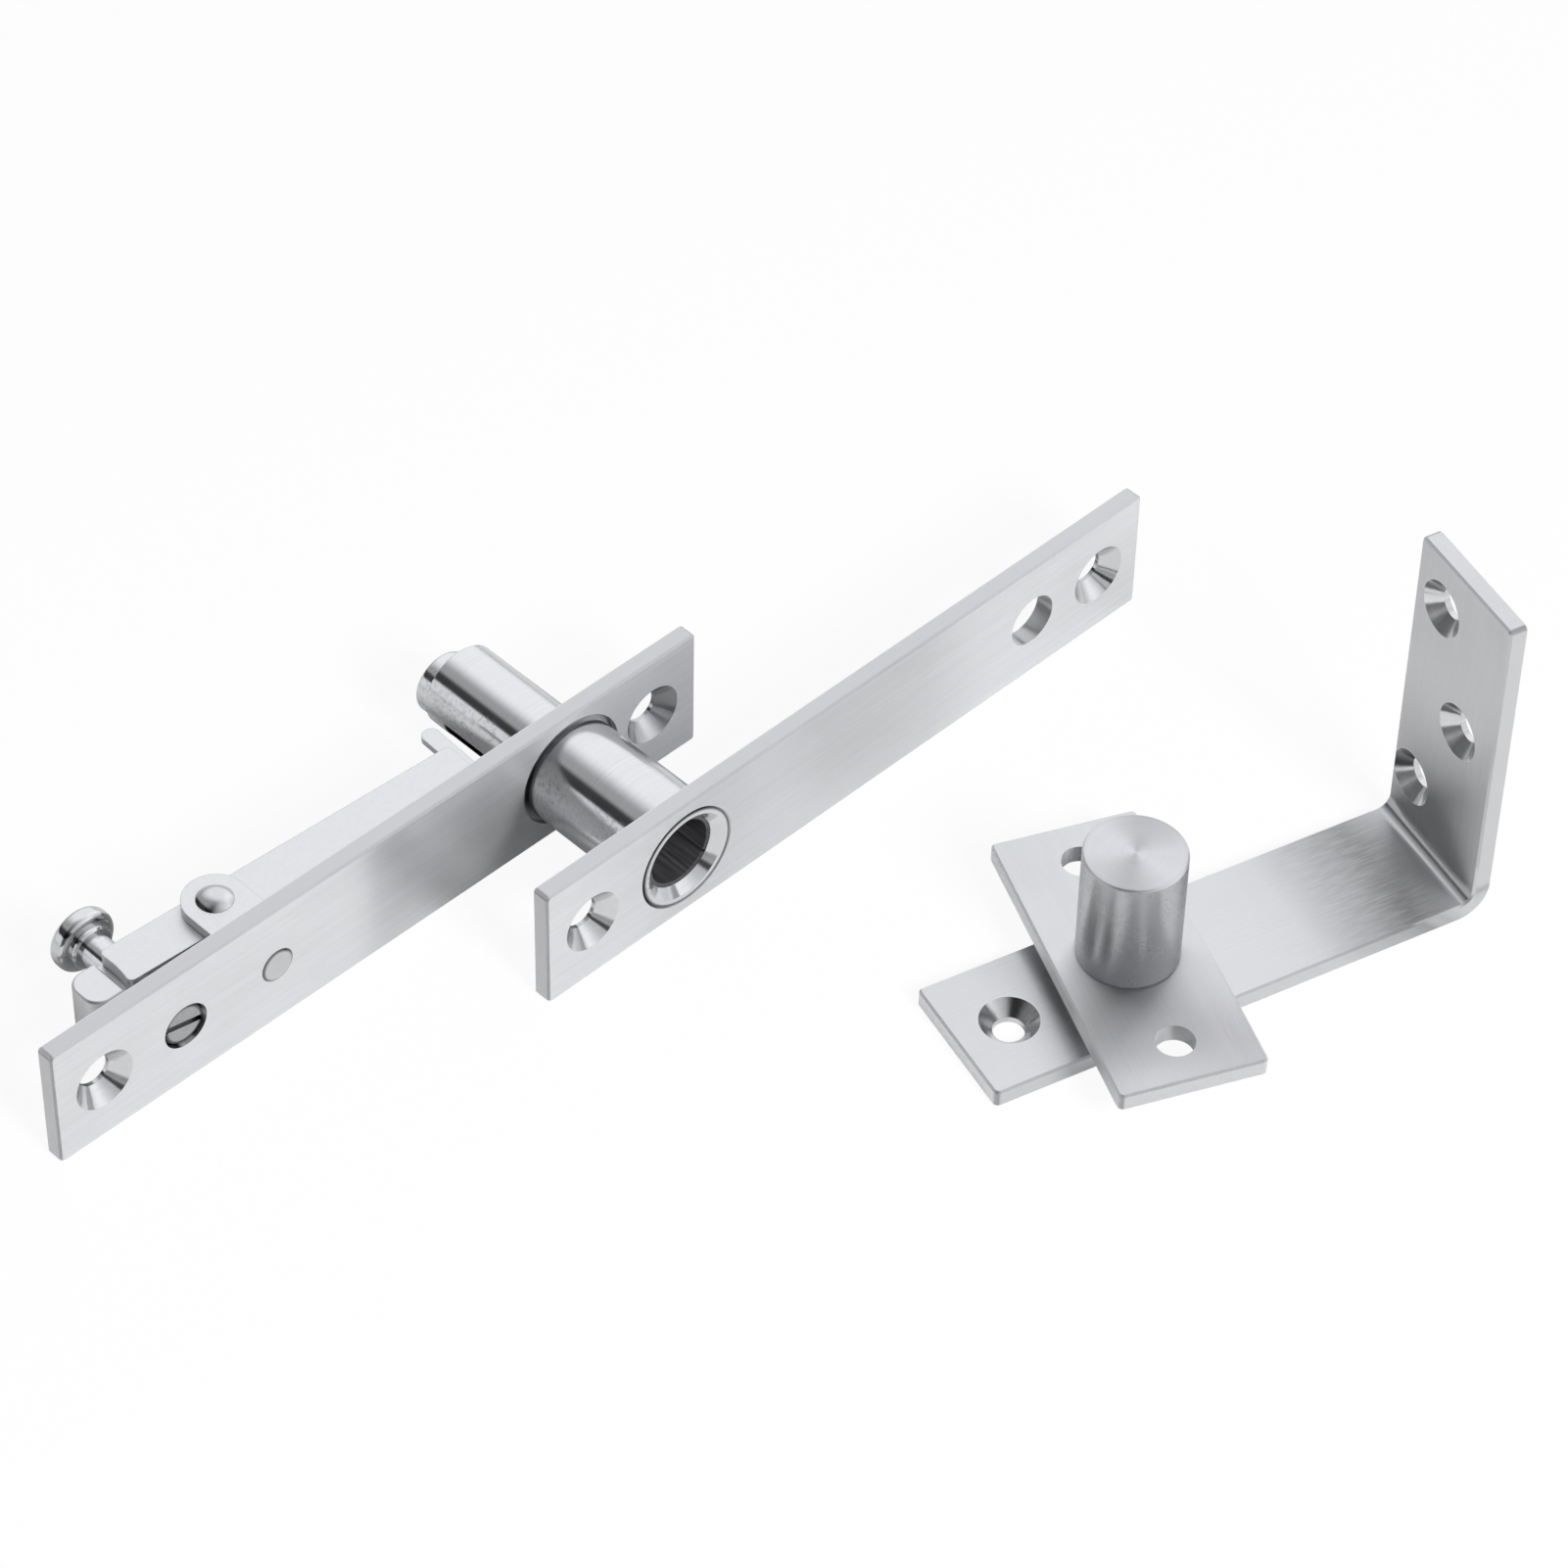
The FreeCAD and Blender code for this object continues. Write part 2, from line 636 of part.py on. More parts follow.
def make_lever():
    body = new_body("lever")
    outline = new_sketch(body, "outline", "-lever_half_height")
    draw_outline(outline, (
        ("-lever_tail", "-half_lever", "lever_tail_hollow - lever_tail - tail_bow", "0", "clockwise"),
        ("lever_right", "-half_lever"),
        ("lever_right", "half_lever"),
        ("-lever_tail", "half_lever"),
    ))
    blank = pad(body, "blank", outline, "2 * lever_half_height")
    soften(body, "Fillet", "corners", blank, "lever_corner", upright)
    inside = new_sketch(body, "inside_outline", "flange_bottom")
    web_back = "web_thickness - half_lever"
    draw_outline(inside, (
        ("-(lever_tail + 1)", "-(half_lever + 1)"),
        ("-web_reach", "-(half_lever + 1)"),
        ("-web_reach", web_back),
        ("lever_right + 1", web_back),
        ("lever_right + 1", "half_lever + 1"),
        ("-(lever_tail + 1)", "half_lever + 1"),
    ))
    pocket(body, "inside", inside, "2 * flange_bottom")
    bore = new_sketch(body, "bore_circle", "lever_half_height")
    draw_circle(bore, "fulcrum_rivet_radius + rivet_clearance")
    pocket(body, "bore", bore)
    depth = "(nut_half_height + stub_length + 2 * stub_slot_play)"
    slots = new_sketch(body, "stub_slot_outline", depth)
    reach = "(stub_slot_half + stub_slot_length)"
    draw_box(slots, "-screw_arm - " + reach, "-screw_arm + " + reach, "-stub_slot_half", "stub_slot_half")
    pocket(body, "stub_slots", slots, "2 * " + depth)
    tab = new_sketch(body, "tab_outline", "-flange_bottom")
    tab_left = "lever_right - tab_lap"
    draw_box(tab, tab_left, tab_left + " + tab_width", "-half_lever", "half_lever")
    pad(body, "tab", tab, "2 * flange_bottom")
    tongue_outline = new_sketch(body, "tongue_outline", "flange_bottom - tongue_thickness")
    draw_box(tongue_outline, tab_left, tab_left + " + tab_width", "0", "half_lever + tongue_overhang")
    tongue = pad(body, "tongue", tongue_outline, "tongue_thickness")
    rear = value("half_lever + tongue_overhang")
    soften(body, "Fillet", "tongue_end", tongue, "0.45 * tab_width",
           lambda edge: upright(edge) and abs(edge.BoundBox.YMin - rear) < TOUCHING)
    finger = new_sketch(body, "finger_outline", "-(finger_drop + finger_half_height)")
    draw_box(finger, "lever_right", "finger_reach", "-finger_width / 2", "finger_width / 2")
    pad(body, "finger", finger, "2 * finger_half_height")
    tip = new_sketch(body, "tip_circle", "-(finger_drop + finger_half_height)")
    draw_circle(tip, "finger_tip_radius", "finger_reach")
    pad(body, "tip", tip, "2 * finger_half_height")
    turned = about((0, 0, 1), -value("lever_rest_angle"))
    place(body, "-fulcrum_offset", "plate_pitch + lever_stand", "half_strip", turned)


# Top pivot, door side

def make_door_plate():
    body = new_body("door_plate")
    far_end = "(top_plate_length - door_pin_margin)"
    strip_plate(body, "-door_pin_margin", far_end, "half_strip", "strip_thickness", "strip_corner")
    marks = new_sketch(body, "fixing_marks", "strip_thickness")
    draw_circle(marks, "fixing_hole_radius", "end_hole_margin - door_pin_margin")
    draw_circle(marks, "fixing_hole_radius", far_end + " - end_hole_margin")
    countersinks(body, "fixing_holes", marks, "fixing_hole_radius", "fixing_sink_radius")
    openings = new_sketch(body, "opening_circles", "strip_thickness")
    draw_circle(openings, "sleeve_radius")
    draw_circle(openings, "access_hole_radius", "access_offset")
    opened = pocket(body, "openings", openings)
    rim = value("sleeve_radius")
    face = at_level(value("strip_thickness"))
    soften(body, "Chamfer", "rim_groove", opened, "rim_groove",
           lambda edge: face(edge) and edge.Curve.TypeId == "Part::GeomCircle"
           and abs(edge.Curve.Radius - rim) < TOUCHING)
    place(body, "0", "strip_thickness", "half_strip", STANDING)


def make_door_sleeve():
    body = new_body("door_sleeve")
    mouth = "sleeve_radius - sleeve_lip"
    turn(body, "tube", (
        ("liner_radius", "sleeve_wall - sleeve_lip"),
        (mouth, "0"),
        ("sleeve_radius", "0"),
        ("sleeve_radius", "sleeve_length - sleeve_chamfer"),
        ("sleeve_radius - sleeve_chamfer", "sleeve_length"),
        ("liner_radius", "sleeve_length"),
    ))
    place(body, "0", "0", "half_strip", POINTING_BACK)


def make_sleeve_liner():
    body = new_body("sleeve_liner")
    front = "sleeve_wall - sleeve_lip + liner_inset"
    turn(body, "tube", (
        ("barrel_bore", front),
        ("liner_radius", front),
        ("liner_radius", "sleeve_length - liner_inset"),
        ("barrel_bore", "sleeve_length - liner_inset"),
    ))
    split = new_sketch(body, "split_outline", "sleeve_length")
    half = "liner_gap / 2"
    draw_box(split, "0", "liner_radius + 1", "-" + half, half)
    pocket(body, "split", split)
    place(body, "0", "0", "half_strip", POINTING_BACK.multiply(about((0, 0, 1), 35)))


# Bottom pivot, frame side

def make_floor_bracket():
    body = new_body("floor_bracket")
    profile = new_sketch(body, "profile", "-half_foot", "XZ_Plane")
    bend = ("wall_outer - outer_bend", "outer_bend")
    draw_outline(profile, (
        ("-pivot_from_end", "0"),
        (bend[0], "0"),
        ("wall_outer", bend[1], *bend, "counterclockwise"),
        ("wall_outer", "wall_height"),
        ("wall_inner", "wall_height"),
        ("wall_inner", bend[1]),
        (bend[0], "foot_thickness", *bend, "clockwise"),
        ("-pivot_from_end", "foot_thickness"),
    ))
    blank = pad(body, "blank", profile, "foot_width")
    free_end = -value("pivot_from_end")
    top_end = value("wall_height")

    def free_corner(edge):
        box = edge.BoundBox
        at_leg_end = upright(edge) and abs(box.XMin - free_end) < TOUCHING
        at_wall_top = box.YLength < TOUCHING and box.ZLength < TOUCHING and abs(box.ZMin - top_end) < TOUCHING
        return at_leg_end or at_wall_top
    rounded = soften(body, "Fillet", "corners", blank, "foot_corner", free_corner)
    side = value("half_foot")

    def long_edge(edge):
        box = edge.BoundBox
        return box.YLength < TOUCHING and abs(abs(box.YMin) - side) < TOUCHING
    soften(body, "Chamfer", "edges", rounded, "edge_break", long_edge)
    floor_mark = new_sketch(body, "floor_mark", "foot_thickness")
    draw_circle(floor_mark, "foot_hole_radius", "leg_hole_margin - pivot_from_end")
    countersinks(body, "floor_hole", floor_mark, "foot_hole_radius", "foot_sink_radius")
    wall_marks = new_sketch(body, "wall_marks", "wall_inner", "YZ_Plane")
    for level in ("top", "middle", "bottom"):
        draw_circle(wall_marks, "foot_hole_radius", "wall_hole_%s_side" % level, "wall_hole_%s" % level)
    countersinks(body, "wall_holes", wall_marks, "foot_hole_radius", "foot_sink_radius", ahead=True)
    stud = new_sketch(body, "stud_circle", "foot_thickness")
    draw_circle(stud, "stud_tail_radius")
    pocket(body, "stud_hole", stud, "foot_thickness")
    place(body, "foot_across", "-foot_forward", "0", about((0, 0, 1), value("leg_heading")))


def make_bottom_stud():
    body = new_body("bottom_pivot_pin")
    turn(body, "shaft", (
        ("0", "0"),
        ("stud_tail_radius", "0"),
        ("stud_tail_radius", "foot_thickness"),
        ("stud_radius", "foot_thickness"),
        ("stud_radius", "stud_top - stud_chamfer"),
        ("stud_radius - stud_chamfer", "stud_top"),
        ("0", "stud_top"),
    ))
    place(body, "foot_across", "-foot_forward", "0")


def make_thrust_washer():
    body = new_body("thrust_washer")
    turn(body, "ring", (
        ("stud_radius", "foot_thickness"),
        ("washer_radius", "foot_thickness"),
        ("washer_radius", "foot_plate_bottom"),
        ("stud_radius", "foot_plate_bottom"),
    ))
    place(body, "foot_across", "-foot_forward", "0")


def make_thrust_ball():
    body = new_body("thrust_ball")
    turn(body, "ball", (
        ("0", "stud_top"),
        ("0", "stud_top + 2 * ball_radius", "0", "stud_top + ball_radius", "counterclockwise"),
    ))
    place(body, "foot_across", "-foot_forward", "0")


# Bottom pivot, door side

def make_bottom_door_plate():
    body = new_body("bottom_door_plate")
    half = "foot_plate_length / 2"
    strip_plate(body, "-" + half, half, "half_foot", "foot_thickness", "foot_corner")
    openings = new_sketch(body, "opening_circles", "foot_thickness")
    draw_circle(openings, "housing_spigot_radius")
    draw_circle(openings, "foot_plate_hole_radius", "-foot_plate_hole_pitch / 2")
    draw_circle(openings, "foot_plate_hole_radius", "foot_plate_hole_pitch / 2")
    pocket(body, "openings", openings)
    heading = about((0, 0, 1), value("foot_plate_heading"))
    place(body, "foot_across", "-foot_forward", "foot_plate_bottom", heading)


def make_bearing_housing():
    body = new_body("bearing_housing")
    turn(body, "cup", (
        ("bearing_liner_radius", "foot_plate_bottom"),
        ("housing_spigot_radius", "foot_plate_bottom"),
        ("housing_spigot_radius", "foot_plate_top"),
        ("housing_radius - housing_chamfer", "foot_plate_top"),
        ("housing_radius", "foot_plate_top + housing_chamfer"),
        ("housing_radius", "housing_top - housing_chamfer"),
        ("housing_radius - housing_chamfer", "housing_top"),
        ("0", "housing_top"),
        ("0", "housing_bore_end"),
        ("bearing_liner_radius", "housing_bore_end"),
    ))
    place(body, "foot_across", "-foot_forward", "0")


def make_housing_liner():
    body = new_body("housing_liner")
    turn(body, "tube", (
        ("bearing_bore", "foot_plate_bottom"),
        ("bearing_liner_radius", "foot_plate_bottom"),
        ("bearing_liner_radius", "stud_top"),
        ("bearing_bore", "stud_top"),
    ))
    place(body, "foot_across", "-foot_forward", "0")


for make in (
    make_frame_plate, make_guide_barrel, make_pivot_pin, make_fulcrum_bracket, make_fulcrum_rivet,
    make_bracket_rivet, make_adjusting_screw, make_screw_collar, make_screw_knob, make_nut_block,
    make_lever, make_door_plate, make_door_sleeve, make_sleeve_liner, make_floor_bracket,
    make_bottom_stud, make_thrust_washer, make_thrust_ball, make_bottom_door_plate,
    make_bearing_housing, make_housing_liner,
):
    make()
doc.recompute()

# The origin goes under the middle of the set.
extent = FreeCAD.BoundBox()
for body in pieces:
    extent.add(body.Shape.optimalBoundingBox(False))
shift = FreeCAD.Vector(extent.Center.x, extent.Center.y, extent.ZMin)
for body in pieces:
    body.Placement.Base = body.Placement.Base - shift
doc.recompute()

for item in doc.Objects:
    if "Invalid" in item.State or "Error" in item.State:
        raise RuntimeError("failed: " + item.Name)
for body in pieces:
    if body.Shape.isNull() or not body.Shape.isValid() or len(body.Shape.Solids) != 1:
        raise RuntimeError("bad shape: " + body.Label)

os.makedirs("parts", exist_ok=True)
for body in pieces:
    body.Shape.exportStep("parts/%s.step" % body.Label)
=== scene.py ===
import math

import bpy
from mathutils import Euler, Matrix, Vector


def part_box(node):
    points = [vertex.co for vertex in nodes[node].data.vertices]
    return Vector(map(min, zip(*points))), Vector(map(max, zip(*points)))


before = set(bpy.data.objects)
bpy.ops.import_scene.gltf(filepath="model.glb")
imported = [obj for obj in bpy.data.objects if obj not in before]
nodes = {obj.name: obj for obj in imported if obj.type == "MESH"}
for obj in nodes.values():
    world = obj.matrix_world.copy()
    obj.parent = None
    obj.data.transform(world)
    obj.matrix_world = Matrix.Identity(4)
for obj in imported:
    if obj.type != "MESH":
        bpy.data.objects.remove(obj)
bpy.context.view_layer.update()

scene = bpy.context.scene

# Directions: up from the floor, and back from the front of the top plates
UP = (0.0, 0.0, 1.0)
BACK = (0.0, 1.0, 0.0)

# Camera at the photograph's viewing angle
SENSOR_WIDTH = 36.0
LENS = 134.645
CLIP = (0.05, 20.0)
CAMERA_PLACE = (-0.370707, -0.372413, 0.572248)
CAMERA_DEGREES = (44.3587, -0.9625, -44.2601)

camera_data = bpy.data.cameras.new("camera")
camera_data.sensor_width = SENSOR_WIDTH
camera_data.lens = LENS
camera_data.clip_start, camera_data.clip_end = CLIP
camera = bpy.data.objects.new("camera", camera_data)
camera.location = CAMERA_PLACE
camera.rotation_euler = Euler([math.radians(degrees) for degrees in CAMERA_DEGREES])
scene.collection.objects.link(camera)
scene.camera = camera


# Shader building

GROOVE_TURN = 0.25
ROUNDING_SAMPLES = 4


class Graph:
    """The nodes of a material or a world, made and linked by short calls."""

    def __init__(self, owner):
        self.owner = owner
        owner.use_nodes = True
        self.tree = owner.node_tree
        self.tree.nodes.clear()

    def node(self, kind, inputs=None, **settings):
        made = self.tree.nodes.new(kind)
        for key, setting in settings.items():
            setattr(made, key, setting)
        for key, source in (inputs or {}).items():
            if isinstance(source, bpy.types.NodeSocket):
                self.tree.links.new(source, made.inputs[key])
            else:
                made.inputs[key].default_value = source
        return made

    def math(self, operation, first, second=0.0):
        return self.node("ShaderNodeMath", {0: first, 1: second}, operation=operation).outputs[0]

    def total(self, first, second):
        return self.math("ADD", first, second)

    def product(self, first, second):
        return self.math("MULTIPLY", first, second)

    def rest(self, share):
        """What a share leaves of one."""
        return self.math("SUBTRACT", 1.0, share)

    def vector(self, operation, first, second=(0.0, 0.0, 0.0), output="Vector"):
        made = self.node("ShaderNodeVectorMath", {0: first, 1: second}, operation=operation)
        return made.outputs[output]

    def dot(self, first, second):
        return self.vector("DOT_PRODUCT", first, second, "Value")

    def split(self, vector):
        return self.node("ShaderNodeSeparateXYZ", {0: vector}).outputs

    def joined(self, x, y, z=0.0):
        return self.node("ShaderNodeCombineXYZ", {"X": x, "Y": y, "Z": z}).outputs[0]

    def blended(self, share, first, second):
        inputs = {"Factor": share, 4: first, 5: second}
        return self.node("ShaderNodeMix", inputs, data_type="VECTOR").outputs[1]

    def mapped(self, vector, scale, turn=0.0):
        inputs = {"Vector": vector, "Scale": scale, "Rotation": (0.0, 0.0, turn)}
        return self.node("ShaderNodeMapping", inputs, vector_type="POINT").outputs["Vector"]

    def grain(self, vector, pattern):
        """Noise. The pattern is its cycles per metre on each axis, its detail and its roughness."""
        cycles, detail, roughness = pattern
        inputs = {"Vector": self.mapped(vector, cycles), "Scale": 1.0, "Detail": detail,
                  "Roughness": roughness}
        return self.node("ShaderNodeTexNoise", inputs).outputs["Fac"]

    def remap(self, value, results, band=(0.0, 1.0), interpolation="LINEAR"):
        """The results that a value has at the two ends of a band, and those between."""
        inputs = {"Value": value, 1: band[0], 2: band[1], 3: results[0], 4: results[1]}
        made = self.node("ShaderNodeMapRange", inputs, interpolation_type=interpolation)
        return made.outputs[0]

    def rising(self, value, band):
        return self.remap(value, (0.0, 1.0), band)

    def falling(self, value, band):
        return self.remap(value, (1.0, 0.0), band)

    def ramp(self, value, stops):
        made = self.node("ShaderNodeValToRGB", {"Fac": value})
        elements = made.color_ramp.elements
        while len(elements) < len(stops):
            elements.new(0.5)
        for element, (position, colour) in zip(elements, stops):
            element.position = position
            element.color = (*colour, 1.0)
        return made.outputs["Color"]

    def shaded(self, colour, shade):
        grey = self.node("ShaderNodeCombineColor", {0: shade, 1: shade, 2: shade}).outputs[0]
        inputs = {0: 1.0, 6: (*colour, 1.0), 7: grey}
        made = self.node("ShaderNodeMix", inputs, data_type="RGBA", blend_type="MULTIPLY")
        return made.outputs[2]

    def place(self):
        return self.node("ShaderNodeTexCoord").outputs["Object"]

    def outward(self):
        return self.node("ShaderNodeTexCoord").outputs["Normal"]

    def turned(self, place, centre, axis):
        """The direction round an axis, the distance from it and the depth along it."""
        local = self.vector("SUBTRACT", place, centre)
        about = self.vector("CROSS_PRODUCT", local, axis)
        reach = self.vector("LENGTH", about, output="Value")
        depth = self.dot(local, axis)
        return self.vector("NORMALIZE", about), reach, depth

    def rounded(self, radius):
        """The face's direction, with sharp edges taken as rounded."""
        return self.node("ShaderNodeBevel", {"Radius": radius}, samples=ROUNDING_SAMPLES).outputs[0]

    def relief(self, height, strength, under=None):
        """Fine relief on the direction under it. The strength is a share and a distance."""
        inputs = {"Strength": strength[0], "Distance": strength[1], "Height": height}
        if under is not None:
            inputs["Normal"] = under
        return self.node("ShaderNodeBump", inputs).outputs[0]

    def coat(self, tint, roughness, normal, metallic=1.0, groove=None, pull=0.0):
        """The surface. Grooves along a direction stretch its reflections by the pull."""
        inputs = {"Base Color": tint, "Metallic": metallic, "Roughness": roughness,
                  "Normal": normal}
        if groove is not None:
            inputs.update({"Anisotropic": pull, "Anisotropic Rotation": GROOVE_TURN,
                           "Tangent": groove})
        return self.finish(self.node("ShaderNodeBsdfPrincipled", inputs))

    def finish(self, shader, output="ShaderNodeOutputMaterial"):
        self.tree.links.new(shader.outputs[0], self.node(output).inputs["Surface"])
        return self.owner


def middle(node):
    low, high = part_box(node)
    return (low + high) / 2


# Noise patterns: cycles per metre on each axis, detail and roughness
FINE_LINES = ((55.0, 5200.0, 5200.0), 3.0, 0.65)
COARSE_LINES = ((22.0, 1300.0, 1300.0), 3.0, 0.6)
BROKEN_LINES = ((260.0, 2400.0, 2400.0), 2.0, 0.6)
STRIP_BLOTCHES = ((55.0, 90.0, 90.0), 3.0, 0.55)
RINGS = ((6000.0, 4200.0, 1.0), 2.0, 0.7)
SPECKS = ((1700.0, 1700.0, 1700.0), 4.0, 0.65)
WORN_PATCHES = ((230.0, 230.0, 230.0), 2.0, 0.5)
SATIN_CLOUDS = ((90.0, 90.0, 90.0), 3.0, 0.5)
SATIN_GRIT = ((1800.0, 1800.0, 1800.0), 2.0, 0.6)
HANDLING_MARKS = ((700.0, 1500.0, 700.0), 3.0, 0.6)
POLISH_CLOUDS = ((150.0, 150.0, 150.0), 2.0, 0.5)
LINER_SCORES = ((2600.0, 120.0, 2600.0), 3.0, 0.6)
LINER_CLOUDS = ((300.0, 300.0, 300.0), 2.0, 0.5)

# Bands of a noise's values in which a shade or a roughness changes
LINE_BAND = (0.35, 0.65)
MID_BAND = (0.3, 0.7)
PATCH_BAND = (0.38, 0.62)
SPECK_BAND = (0.36, 0.56)
SCRATCH_BAND = (0.35, 0.60)

# Relief: its share and its distance in metres
STRIP_RELIEF = (0.06, 0.00004)
PIT_RELIEF = (0.12, 0.00005)
RING_RELIEF = (0.08, 0.00003)
SATIN_RELIEF = (0.05, 0.00003)
POLISH_RELIEF = (0.03, 0.00003)
SCORE_RELIEF = (0.25, 0.00004)

# Radii of the rounding at sharp edges
STRIP_ROUNDING = 0.00004
TURNED_ROUNDING = 0.00012
SATIN_ROUNDING = 0.0002
POLISH_ROUNDING = 0.0001

# Brushed strip: shades multiply the colour, and what the blotches give is added to the lines' part
STRIP_COLOUR = (0.83, 0.835, 0.85)
LINE_SHADES = (0.95, 1.04)
LINE_ROUGH = (0.39, 0.45)
BLOTCH_SHADES = (-0.03, 0.03)
BLOTCH_ROUGH = (-0.02, 0.03)
STRIP_PULL = 1.0
FINE_SHARE = 0.7
COARSE_SHARE = 0.3
BROKEN_SHARE = 0.5

# Countersinks in a strip: margins round the cone and before the face, and factors in the cone,
# whose shade is painted shade
CONE_MARGIN = 0.00003
FACE_MARGIN = 0.00005
SINK_PAINTED_SHADE = 0.78
SINK_ROUGH = 0.36
SINK_RELIEF = 0.2

# Edges of a strip: the shade of cut ones, the cosines that tell cut and rounded ones, the largest
# cosine sideways at an end, and the roughness that is added where they are rubbed
EDGE_SHADE = 0.8
EDGE_FACING = (0.75, 0.95)
ROUNDED_FACING = (0.85, 0.995)
END_FACING = 0.3
RUBBED_ROUGH = 0.40

# Places before and after the upright face, along the strip: painted shade fades in and out, and the
# bend begins and ends
PAINTED_SHADE_IN = (-0.020, -0.006)
PAINTED_SHADE_OUT = (-0.005, 0.001)
BEND_IN = (-0.008, -0.006)
BEND_OUT = (0.009, 0.011)
# How deep the painted shade near the bend is, broken up by scratches
BEND_SHADE_DEPTHS = (0.24, 0.42)


def brushed(name, heading=0.0, bend=None, sinks=(), edges=(), edge_shade=EDGE_SHADE):
    """Strip steel, brushed along a level heading in degrees.

    A bend is the heights between which the strip turns up, and how far along it the upright face
    is. Near the bend the brushing is scratched, and painted shade darkens it. Each sink is a turned
    countersink: its centre on the face, its axis, its radius and its hole's radius, and painted
    shade darkens it. Edges are the directions that the strip's duller cut edges face. The rounded
    edges are rubbed, and so rougher."""
    graph = Graph(bpy.data.materials.new(name))
    place = graph.place()
    angle = math.radians(heading)
    along = (math.cos(angle), math.sin(angle), 0.0)
    across = (-along[1], along[0], 0.0)
    flat = graph.mapped(place, (1.0, 1.0, 1.0), -angle)
    groove = graph.joined(*along)
    if bend:
        heights, corner = bend
        x, y, z = graph.split(flat)
        reached = graph.total(x, z)
        flat = graph.joined(reached, y)
        groove = graph.blended(graph.rising(z, heights), groove, UP)
    sunk = 0.0
    for centre, axis, sink_radius, hole_radius in sinks:
        swirl, reach, depth = graph.turned(place, centre, axis)
        cone = graph.math("MAXIMUM", graph.math("SUBTRACT", sink_radius, depth), hole_radius)
        inside = graph.product(graph.math("LESS_THAN", reach, graph.total(cone, CONE_MARGIN)),
                               graph.math("GREATER_THAN", depth, -FACE_MARGIN))
        groove = graph.blended(inside, groove, swirl)
        sunk = graph.math("MAXIMUM", sunk, inside)

    lines = graph.total(graph.product(graph.grain(flat, FINE_LINES), FINE_SHARE),
                        graph.product(graph.grain(flat, COARSE_LINES), COARSE_SHARE))
    broken = graph.grain(flat, BROKEN_LINES)
    blotch = graph.grain(flat, STRIP_BLOTCHES)
    shade = graph.total(graph.remap(lines, LINE_SHADES, LINE_BAND),
                        graph.remap(blotch, BLOTCH_SHADES, MID_BAND))
    roughness = graph.total(graph.remap(lines, LINE_ROUGH, LINE_BAND),
                            graph.remap(blotch, BLOTCH_ROUGH, MID_BAND))
    height = graph.total(lines, graph.product(broken, BROKEN_SHARE))
    # Painted shade darkens the countersinks, which are also smoother and flatter
    shade = graph.product(shade, graph.remap(sunk, (1.0, SINK_PAINTED_SHADE)))
    roughness = graph.product(roughness, graph.remap(sunk, (1.0, SINK_ROUGH)))
    height = graph.product(height, graph.remap(sunk, (1.0, SINK_RELIEF)))

    outward = graph.outward()

    def facing(direction):
        return graph.math("ABSOLUTE", graph.dot(outward, direction))

    for edge in edges:
        shade = graph.product(shade, graph.remap(facing(edge), (1.0, edge_shade), EDGE_FACING))
    sideways = facing(across)
    flattest = graph.math("MAXIMUM", graph.math("MAXIMUM", facing(UP), facing(along)), sideways)
    rubbed = graph.product(graph.falling(flattest, ROUNDED_FACING), graph.rest(sunk))
    if bend:
        def near(band):
            return tuple(corner + offset for offset in band)

        # Painted shade darkens the brushing near the bend, and scratches break it up
        painted_bend_shade = graph.product(graph.rising(reached, near(PAINTED_SHADE_IN)),
                             graph.falling(reached, near(PAINTED_SHADE_OUT)))
        scratched_shade = graph.remap(broken, BEND_SHADE_DEPTHS, SCRATCH_BAND)
        shade = graph.product(shade, graph.rest(graph.product(painted_bend_shade, scratched_shade)))
        unbent = graph.math("MAXIMUM", graph.rising(reached, near(BEND_OUT)),
                            graph.falling(reached, near(BEND_IN)))
        rubbed = graph.product(rubbed, unbent)
    roughness = graph.total(roughness, graph.product(rubbed, RUBBED_ROUGH))
    end_edge = graph.product(rubbed, graph.math("LESS_THAN", sideways, END_FACING))
    groove = graph.blended(end_edge, groove, across)
    normal = graph.relief(height, STRIP_RELIEF, graph.rounded(STRIP_ROUNDING))
    return graph.coat(graph.shaded(STRIP_COLOUR, shade), roughness, normal,
                      groove=groove, pull=STRIP_PULL)


# Turned steel: shades multiply the colour, and widths and steps are in metres
TURNED_COLOUR = (0.66, 0.665, 0.68)
RING_SHADES = (0.96, 1.04)
LEAST_WORN = 0.25
CLEAN_SIDE = 0.08
WORN_FACING = (0.78, 0.88)
SPOT_SHADE = 0.30
SPOT_ROUGH = 0.12
PATCH_ROUGH = 0.015
# A rim's width, and how far painted shade darkens it
RIM_WIDTH = 0.00025
RIM_PAINTED_SHADE = 0.8
# An end face's step, the painted light that makes it lighter than the side, and its added roughness
END_STEP = 0.0001
END_PAINTED_LIGHT = 1.42
END_ROUGH = 0.20
HEAD_STEP = 0.0002


